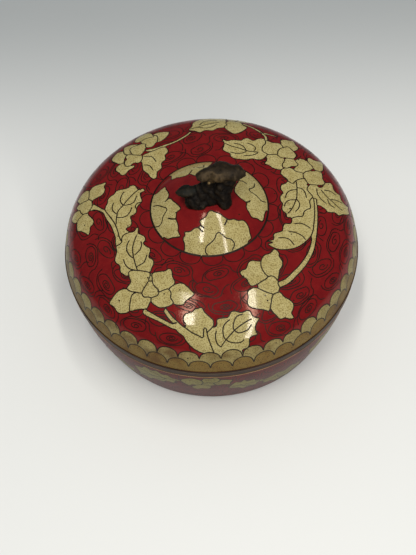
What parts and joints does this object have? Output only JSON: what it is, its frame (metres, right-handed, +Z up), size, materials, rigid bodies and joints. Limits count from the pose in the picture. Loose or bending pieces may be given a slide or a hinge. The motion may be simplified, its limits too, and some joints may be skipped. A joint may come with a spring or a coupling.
{
  "type": "round lidded enamel box",
  "caption": "Round enamelled copper trinket box with a domed lift-off lid and a cast bronze fungus-shaped finial, on a low foot ring.",
  "frame": {"origin": "centre of the underside, on the surface that the box stands on", "axes": "+Z up along the box's axis; -Y is the front, the side that the finial's small cap points across to -X from"},
  "size_m": [0.1196, 0.1196, 0.0822],
  "materials": {
    "body_enamel": "glossy red glass enamel with cream flowers and fine dark wires on copper; bare copper rim and foot ring",
    "lid_enamel": "glossy red glass enamel with cream flowers, leaves and scalloped edge and fine dark wires on copper; bare copper rim",
    "bronze": "dark brown-black patinated cast bronze, rubbed lighter on its edges"
  },
  "bodies": {
    "root": {"body": "body_enamel", "lid": "lid_enamel", "finial": "bronze"}
  },
  "joints": []
}
